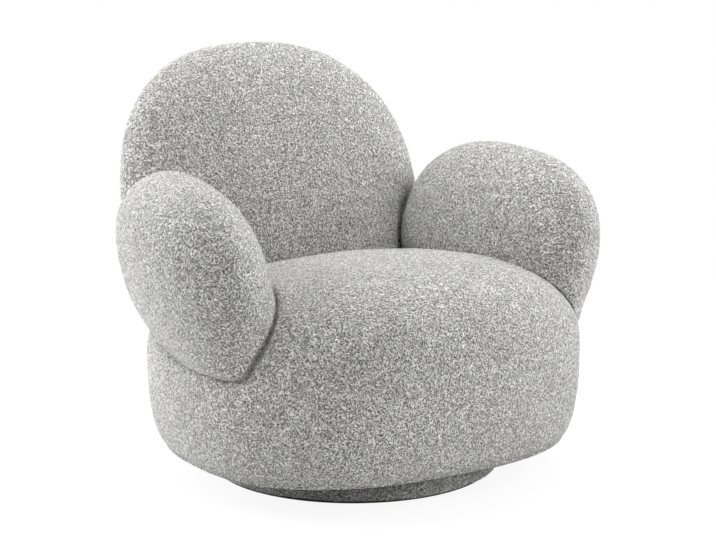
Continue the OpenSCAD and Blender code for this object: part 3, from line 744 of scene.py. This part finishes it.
def new_material(name, roughness=0.5, metallic=0.0, **shine):
    """A material with one Principled shader, and the object's own coordinates."""
    material = bpy.data.materials.new(name)
    material.use_nodes = True
    tree = material.node_tree
    shader = tree.nodes["Principled BSDF"]
    shader.inputs["Roughness"].default_value = roughness
    shader.inputs["Metallic"].default_value = metallic
    for socket, value in shine.items():
        shader.inputs[socket.replace("_", " ")].default_value = value
    return material, tree, shader, add(tree, "TexCoord").outputs["Object"]


def place_group(tree, make, name, **inputs):
    """A node that holds the group of that name, which is made when it is first asked for."""
    group = bpy.data.node_groups.get(name) or make(name)
    return add(tree, "Group", inputs, node_tree=group)


def wire(tree, shader, placed, relief, strength=1.0):
    """Feeds a placed group's colour, roughness and height to the shader."""
    tree.links.new(placed.outputs["Color"], shader.inputs["Base Color"])
    if "Roughness" in placed.outputs:
        tree.links.new(placed.outputs["Roughness"], shader.inputs["Roughness"])
    inputs = {"Height": placed.outputs["Height"], "Distance": relief, "Strength": strength}
    tree.links.new(add(tree, "Bump", inputs).outputs[0], shader.inputs["Normal"])


def rgba(tone):
    return (*tone, 1.0)


def boucle_material():
    name = "Boucle"
    if name in bpy.data.materials:
        return bpy.data.materials[name]
    look = chosen("boucle")
    shine = {"Sheen_Weight": 0.6, "Sheen_Roughness": 0.45, "Specular_IOR_Level": 0.15}
    material, tree, shader, at = new_material(name, 0.95, **shine)
    # The dark colour gives the yarn's dark flecks and also the painted shade in the hollows between the
    # loops
    inputs = {"Light": rgba(look.light), "Middle": rgba(look.middle), "Dark": rgba(look.dark)}
    inputs |= {"Vector": at, "Scale": 1 / look.loop}
    placed = place_group(tree, loops_group, "Loops of yarn", **inputs)
    wire(tree, shader, placed, look.relief)
    return material


def wood_material(name, light, dark, plied, turn):
    """Wood whose grain runs along x once turned. Plywood is plied across its z."""
    material, tree, shader, at = new_material(name, 0.62)
    turned = stretched(tree, at, Rotation=turn)
    inputs = {"Vector": turned, "Light": rgba(light), "Dark": rgba(dark)}
    placed = place_group(tree, grain_group, "Wood grain", **inputs)
    wire(tree, shader, placed, 0.0002, 0.5)
    if plied:
        ply = chosen("wood").ply
        depth = add(tree, "SeparateXYZ", {0: turned}).outputs["Z"]
        layer = sums(tree, "PINGPONG", sums(tree, "ADD", depth, 0.0003), ply)
        crosswise = spread(tree, layer, ply * 0.44, ply * 0.56, 0.0, 0.32)
        layered = blend(tree, crosswise, placed.outputs["Color"], rgba(dark))
        tree.links.new(layered, shader.inputs["Base Color"])
    return material


def metal_material(name, tone, smooth, metallic=1.0):
    material, tree, shader, at = new_material(name, smooth, metallic)
    inputs = {"Vector": at, "Tone": rgba(tone), "Smooth": smooth}
    placed = place_group(tree, wear_group, "Mottle and marks", **inputs)
    wire(tree, shader, placed, 0.00005, 0.25)
    return material


def fibre_material(name, tone, scale, relief):
    material, tree, shader, at = new_material(name, 0.95, Sheen_Weight=0.15, Specular_IOR_Level=0.2)
    inputs = {"Vector": at, "Scale": scale, "Shade": rgba(tone)}
    placed = place_group(tree, fibre_group, "Matted fibres", **inputs)
    wire(tree, shader, placed, relief)
    return material


def finish_nodes(material, *nodes):
    """Gives nodes of the frame a material."""
    for name in nodes:
        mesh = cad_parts[name].data
        mesh.materials.clear()
        mesh.materials.append(material)


# Pieces


def seat_rings(bm):
    """Takes the cover on from its turned margin, up round the base board and in over the seat frame."""
    seat = chosen("seat")
    middle = seat_middle()
    side, front, back = PAD_HIGH.x + BESIDE, PAD_LOW.y - BESIDE, PAD_HIGH.y + BESIDE
    edge = BOARD_HIGH.x + ROUND
    under, over, top = BOARD_LOW.z - UNDER, BOARD_HIGH.z + ROUND, PAD_HIGH.z + OVER

    def at_board(x, y):
        return edge / (seat.width / 2) / seat_outline(x, y)

    def at_frame(x, y):
        depth = back - middle[1] if y > 0 else middle[1] - front
        return min(side / max(abs(x), 1e-6), depth / max(abs(y), 1e-6))

    steps = ((under, None), (under, at_board), (over, at_board), (over, at_frame), (top, at_frame))
    edges = [e for e in bm.edges if e.is_boundary]
    for height, scaled in steps:
        made = bmesh.ops.extrude_edge_only(bm, edges=edges)["geom"]
        edges = [g for g in made if isinstance(g, bmesh.types.BMEdge)]
        for v in (g for g in made if isinstance(g, bmesh.types.BMVert)):
            x, y = v.co.x, v.co.y - middle[1]
            share = float(scaled(x, y)) if scaled else 1.0
            v.co = Vector((x * share, middle[1] + y * share, height))
    bmesh.ops.edgeloop_fill(bm, edges=edges)


def seat_rays(rows):
    """The way that each point of a cut ball leaves the seat's middle. The lowest ring follows the margin."""
    seat = chosen("seat")
    flat = np.hypot(rows[:, 0], rows[:, 1])
    way = rows[:, :2] / np.maximum(flat, 1e-9)[:, None]
    outline = way / seat_outline(way[:, 0], way[:, 1])[:, None]
    square = np.abs(rows[:, :2]).max(axis=1)
    largest = np.abs(rows).max(axis=1)
    low = np.clip(-2 * rows[:, 2] / largest, 0, 1)
    wide = (flat + (square - flat) * low) / largest
    inset = 1 - TURNED_IN * seat.margin / (seat.width / 2)
    wide = wide * (1 + (inset - 1) * low)
    deep = np.where(rows[:, 2] < 0, seat.waist, seat.height - seat.waist) * rows[:, 2] / largest
    return unit(np.column_stack((outline * wide[:, None], deep)))


def finished_cushion(form, mesh):
    """Puts in a cushion in place of a form's cover and foam."""
    replaced = (f"{form}_cover", f"{form}_foam")
    piece = finished_piece(f"{form}_cushion", mesh, "seat", boucle_material(), replaced)


class MakeSeat(Operator):
    """Makes the puffy seat, whose cover is turned in under the base board"""

    bl_idname = "chair.make_seat"
    bl_label = "Seat"

    def execute(self, context):
        seat, middle = chosen("seat"), seat_middle()
        bm = cut_ball(SEAT_FACES)

        def in_lower_side(v):
            return -v.co.z >= max(abs(v.co.x), abs(v.co.y)) - 1e-4

        below = [f for f in bm.faces if all(in_lower_side(v) for v in f.verts)]
        bmesh.ops.delete(bm, geom=below, context="FACES")
        mesh = mesh_from(bm, "seat_cushion")
        rows = points_of(mesh)
        rays = seat_rays(rows)
        own = reach(seat_level, middle, rays, seat.width, True)
        flat = np.where(rays[:, 2] < 0, -seat.waist / np.minimum(rays[:, 2], -1e-6), np.inf)
        final = soft_min(own, flat, seat.rim)
        height = middle[2] + rays[:, 2] * final - seat.floor
        held = np.clip(1 - (height - HELD_UP_TO) / FREE_AFTER, 0, 1) ** 2
        rays, final = filled(mesh, middle, rays, final, held)
        move_to(mesh, middle + rays * final[:, None])
        fine = refined(mesh, 2)
        kept_above(fine, seat.floor)
        pressed(fine, (arm_form(), back_form()))
        kept_above(napped(fine), seat.floor)
        bm = bmesh.new()
        bm.from_mesh(fine)
        seat_rings(bm)
        bm.to_mesh(fine)
        bm.free()
        finished_cushion("seat", fine)
        return {"FINISHED"}


class MakeBack(Operator):
    """Makes the tall rounded back, which sits down over the rear of the seat"""

    bl_idname = "chair.make_back"
    bl_label = "Back"

    def execute(self, context):
        others, beside = [seat_level], [arm_form()]
        mesh = pebble("back_cushion", back_form(), BACK_FACES, BACK_HEART, others, beside)
        finished_cushion("back", mesh)
        return {"FINISHED"}


class MakeArms(Operator):
    """Makes the two leaning arms, which rest against the seat and the back"""

    bl_idname = "chair.make_arms"
    bl_label = "Arms"

    def execute(self, context):
        others = [seat_level, back_form().level]
        left = pebble("left_arm_cushion", arm_form(), ARM_FACES, ARM_HEART, others)
        bm = bmesh.new()
        bm.from_mesh(left)
        bmesh.ops.scale(bm, verts=bm.verts, vec=(-1, 1, 1))
        bmesh.ops.reverse_faces(bm, faces=bm.faces)
        right = mesh_from(bm, "right_arm_cushion")
        finished_cushion("left_arm", left)
        finished_cushion("right_arm", right)
        return {"FINISHED"}


class MakePlinthBand(Operator):
    """Makes the fabric band round the plinth, turned in over its top and bottom"""

    bl_idname = "chair.make_plinth_band"
    bl_label = "Plinth band"

    def execute(self, context):
        plinth = chosen("plinth")
        radius = (BAND_HIGH.x - BAND_LOW.x) / 2 - plinth.fabric / 2
        inner = radius - plinth.margin
        low, high = BAND_LOW.z + plinth.fabric / 2, BAND_HIGH.z - plinth.fabric / 2
        bm = line_through(((inner, low), (radius, low), (radius, high), (inner, high)))
        bevelled(bm, bm.verts[1:3], plinth.rounding, 5, "VERTICES")
        long = [e for e in bm.edges if e.calc_length() > 0.01]
        bmesh.ops.subdivide_edges(bm, edges=long, cuts=9)
        mesh = napped(spun(bm, "plinth_band", 360), BAND_NAP)
        kept_above(mesh, low)
        fabric = boucle_material()
        piece = finished_piece("plinth_band", mesh, "plinth", fabric, ("plinth_cover",))
        wall = piece.modifiers.new("Fabric", "SOLIDIFY")
        wall.thickness, wall.offset = plinth.fabric * 0.9, 0
        return {"FINISHED"}


class MakeFeltRing(Operator):
    """Makes the felt ring that the chair stands on"""

    bl_idname = "chair.make_felt_ring"
    bl_label = "Felt ring"

    def execute(self, context):
        cloth, plinth = chosen("cloth"), chosen("plinth")
        outer, inner = RING_HIGH.x, RING_HIGH.x - FELT_WIDTH
        low, high = RING_LOW.z, RING_HIGH.z
        bm = line_through(((inner, low), (outer, low), (outer, high), (inner, high)), closed=True)
        bevelled(bm, bm.verts[:], plinth.felt_round, 3, "VERTICES")
        mesh = spun(bm, "felt_ring", 128)
        felt = fibre_material("Felt", cloth.felt, 900.0, 0.0006)
        finished_piece("felt_ring", mesh, "plinth", felt, ("glide_ring",))
        return {"FINISHED"}


class MakeDustCloth(Operator):
    """Makes the black cloth under the seat, and the staples that hold it"""

    bl_idname = "chair.make_dust_cloth"
    bl_label = "Dust cloth"

    def execute(self, context):
        cloth, seat = chosen("cloth"), chosen("seat")
        middle = seat_middle()
        edge = DUST_HIGH.x / (seat.width / 2)

        def at_hole(turn):
            return DUST_HOLE * math.cos(turn), DUST_HOLE * math.sin(turn)

        def at_rim(turn, share=1.0):
            x, y = math.cos(turn), math.sin(turn)
            reach_out = share * edge / float(seat_outline(np.array(x), np.array(y)))
            return x * reach_out, y * reach_out + middle[1]

        bm = bmesh.new()
        for ring in (at_hole, at_rim):
            for v in bmesh.ops.create_circle(bm, segments=DUST_POINTS, radius=1)["verts"]:
                v.co = Vector((*ring(math.atan2(v.co.y, v.co.x)), DUST_HIGH.z))
        bmesh.ops.bridge_loops(bm, edges=bm.edges[:])
        radial = [e for e in bm.edges if not e.is_boundary]
        bmesh.ops.subdivide_edges(bm, edges=radial, cuts=DUST_RINGS)
        bmesh.ops.recalc_face_normals(bm, faces=bm.faces)
        area = sum(f.calc_area() for f in bm.faces)
        for v in bm.verts:
            free = v.co.xy.length > DUST_HOLE + 0.01
            turn = math.atan2(v.co.y - middle[1], v.co.x)
            between = 0.5 - 0.5 * math.cos(turn * cloth.staples)
            sag = cloth.sag * (0.5 + 0.5 * noise.noise(v.co * 14)) * (0.4 + 0.6 * between)
            v.co.z -= DUST_DROP + sag * free
        mesh = mesh_from(bm, "dust_cloth")
        material = fibre_material("Dust cloth", cloth.dust, 1400.0, 0.0003)
        piece = finished_piece("dust_cloth", mesh, "seat", material, ("dust_cover",))
        wall = piece.modifiers.new("Thickness", "SOLIDIFY")
        wall.thickness = 0.0006

        bm = bmesh.new()
        for index in range(cloth.staples):
            turn = math.tau * (index + 0.5) / cloth.staples
            turned = Euler((0, 0, turn + ASKEW * (index % 3 - 1))).to_matrix()
            made = bmesh.ops.create_cube(bm, size=1)["verts"]
            bmesh.ops.scale(bm, verts=made, vec=STAPLE)
            bmesh.ops.rotate(bm, verts=made, cent=(0, 0, 0), matrix=turned)
            place = (*at_rim(turn, STAPLE_AT), DUST_LOW.z - STAPLE_DROP)
            bmesh.ops.translate(bm, verts=made, vec=place)
        bevelled(bm, bm.edges[:], 0.0002, 1, "EDGES")
        staples = mesh_from(bm, "staples")
        bright = metal_material("Staple wire", chosen("metal").zinc, 0.3)
        finished_piece("staples", staples, "seat", bright)
        return {"FINISHED"}


class MakeSpringPad(Operator):
    """Makes the felt pad that lies over the springs"""

    bl_idname = "chair.make_spring_pad"
    bl_label = "Spring pad"

    def execute(self, context):
        size, middle = PAD_HIGH - PAD_LOW, (PAD_HIGH + PAD_LOW) / 2
        bm = cut_cube(1, PAD_FACES)
        bmesh.ops.scale(bm, verts=bm.verts, vec=size)
        bmesh.ops.translate(bm, verts=bm.verts, vec=middle)
        sharp = [e for e in bm.edges if len(e.link_faces) == 2 and e.calc_face_angle() > 1]
        bevelled(bm, sharp, 0.002, 2, "EDGES")
        for v in bm.verts:
            v.co.z -= 0.0008 * (0.5 + 0.5 * noise.noise(v.co * 22)) * (v.co.z > middle.z)
        mesh = mesh_from(bm, "felt_pad")
        material = fibre_material("Spring felt", chosen("cloth").pad, 700.0, 0.0008)
        piece = finished_piece("felt_pad", mesh, "seat", material, ("spring_pad",))
        return {"FINISHED"}


class FinishFrame(Operator):
    """Finishes the boards, rails, springs, swivel and fastenings of the frame"""

    bl_idname = "chair.finish_frame"
    bl_label = "Frame finishes"

    def execute(self, context):
        wood, metal = chosen("wood"), chosen("metal")
        quarter, rake = math.pi / 2, chosen("back").rake
        flat, upright, leaning, along = (0, 0, 0), (0, quarter, 0), (quarter + rake, 0, 0), (0, 0, quarter)
        plies, beech = (wood.birch, wood.birch_dark, True), (wood.beech, wood.beech_dark, False)
        for name, kind, turn, *nodes in (
            ("Birch plywood, level", plies, flat, "plinth_lower_board", "plinth_upper_board", "base_board"),
            ("Birch plywood, upright", plies, upright, "left_arm_panel", "right_arm_panel"),
            ("Birch plywood, leaning", plies, leaning, "back_panel"),
            ("Beech, crosswise", beech, flat, "front_rail", "rear_rail", "back_cross_rails"),
            ("Beech, lengthwise", beech, along, "left_rail", "right_rail"),
            ("Beech, standing", beech, upright, "back_posts", "corner_blocks"),
        ):
            finish_nodes(wood_material(name, *kind, turn), *nodes)
        zinc = metal_material("Zinc-plated steel", metal.zinc, 0.34)
        finish_nodes(zinc, "swivel_lower_plate", "swivel_upper_plate", "swivel_hub", "lower_plate_screws")
        finish_nodes(zinc, "upper_plate_screws", "plinth_screws", "frame_screws", "frame_bolts", "tee_nuts")
        finish_nodes(metal_material("Bearing steel", metal.bearing, 0.12), "swivel_balls")
        spring = metal_material("Spring steel", metal.spring, 0.42)
        finish_nodes(spring, "seat_springs", "spring_clips")
        finish_nodes(metal_material("Nylon", metal.nylon, 0.45, metallic=0.0), "ball_cage")
        return {"FINISHED"}


class SetStage(Operator):
    """Sets the floor, the light and the camera"""

    bl_idname = "chair.set_stage"
    bl_label = "Stage"

    def execute(self, context):
        scene, look = context.scene, chosen("stage")
        scene.view_settings.view_transform = "Standard"

        bm = bmesh.new()
        bmesh.ops.create_circle(bm, segments=96, radius=40, cap_ends=True)
        floor = new_object("floor", mesh_from(bm, "floor"))
        material, tree, shader, at = new_material("Pale floor", 1.0, Specular_IOR_Level=0.0)
        shade = grey(tree, spread(tree, noise_of(tree, at, 3.0), 0.3, 0.7, 0.995, 1.0))
        seen = plainly_seen(tree)
        pale = blend(tree, seen, rgba(look.floor), (1.0, 1.0, 1.0, 1.0))
        tree.links.new(blend(tree, 1.0, pale, shade, "MULTIPLY"), shader.inputs["Base Color"])
        glow = add(tree, "Emission", {"Color": (1, 1, 1, 1), "Strength": 1.0}).outputs[0]
        # Plain white takes over away from the chair, so that the floor has no edge
        away = vectors(tree, "LENGTH", {0: at}, "Value")
        white = sums(tree, "MULTIPLY", seen, spread(tree, away, 0.7, 2.2, look.glow, 1.0))
        mixed = mixed_shader(tree, white, shader.outputs[0], glow)
        # The floor is clear from below, so that the underside can be seen
        clear = add(tree, "BsdfTransparent").outputs[0]
        behind = add(tree, "NewGeometry").outputs["Backfacing"]
        last = mixed_shader(tree, behind, mixed, clear)
        tree.links.new(last, tree.nodes["Material Output"].inputs["Surface"])
        floor.data.materials.append(material)

        world = bpy.data.worlds.new("Soft studio")
        world.use_nodes = True
        scene.world = world
        tree = world.node_tree
        ground = tree.nodes["Background"]
        ground.inputs["Color"].default_value = (1, 1, 1, 1)
        strength = spread(tree, plainly_seen(tree), 0.0, 1.0, look.sky, 1.0)
        tree.links.new(strength, ground.inputs["Strength"])

        turn, rise = look.azimuth, look.elevation
        across = Vector((math.cos(turn), math.sin(turn), 0))
        away = Vector((-across.y, across.x, 0))
        for name, power, size, place in (
            ("lamp_above", look.above, (3.2, 2.4), Vector((0.3, 1.05, 2.9))),
            ("lamp_left", look.left, (2.4, 2.0), across * -2.6 + away * 0.1 + Vector((0, 0, 1.3))),
            ("lamp_right", look.right, (2.2, 2.0), across * 2.6 + Vector((0.6, 0.9, 1.2))),
            ("lamp_front", look.front, (2.2, 2.0), Vector((0.4, -2.7, 1.8))),
        ):
            lamp = bpy.data.lights.new(name, "AREA")
            lamp.shape, lamp.energy = "RECTANGLE", power
            lamp.size, lamp.size_y = size
            light = new_object(name, lamp)
            light.location = place
            light.rotation_euler = (LAMPS_AIM - place).to_track_quat("-Z", "Y").to_euler()

        behind = Vector((math.sin(turn) * math.cos(rise), -math.cos(turn) * math.cos(rise), math.sin(rise)))
        aim = across * look.aside + Vector((0, 0, look.level))
        camera = bpy.data.cameras.new("camera")
        camera.sensor_width, camera.lens = 36.0, look.lens
        camera.clip_start, camera.clip_end = 0.05, 200
        eye = new_object("camera", camera)
        eye.location = aim + behind * look.away
        eye.rotation_euler = (-behind).to_track_quat("-Z", "Y").to_euler()
        scene.camera = eye
        return {"FINISHED"}


class ChairPanel(Panel):
    """Sizes, looks and steps of the tub chair"""

    bl_idname = "VIEW3D_PT_tub_chair"
    bl_label = "Tub Chair"
    bl_space_type = "VIEW_3D"
    bl_region_type = "UI"
    bl_category = "Tub Chair"

    def draw(self, context):
        for name, group in GROUPS.items():
            box = self.layout.box()
            for key in group.__annotations__:
                box.prop(chosen(name), key)
        for step in STEPS:
            self.layout.operator(step.bl_idname)


STEPS = (MakeSeat, MakeBack, MakeArms, MakePlinthBand, MakeFeltRing)
STEPS += (MakeDustCloth, MakeSpringPad, FinishFrame, SetStage)


def register():
    for made in (*GROUPS.values(), *STEPS, ChairPanel):
        bpy.utils.register_class(made)
    for name, group in GROUPS.items():
        setattr(bpy.types.Scene, "chair_" + name, PointerProperty(type=group))


def unregister():
    for name in GROUPS:
        delattr(bpy.types.Scene, "chair_" + name)
    for made in reversed((*GROUPS.values(), *STEPS, ChairPanel)):
        bpy.utils.unregister_class(made)


def main():
    register()
    for step in STEPS:
        getattr(bpy.ops.chair, step.bl_idname.split(".")[1])()


if __name__ == "__main__":
    main()
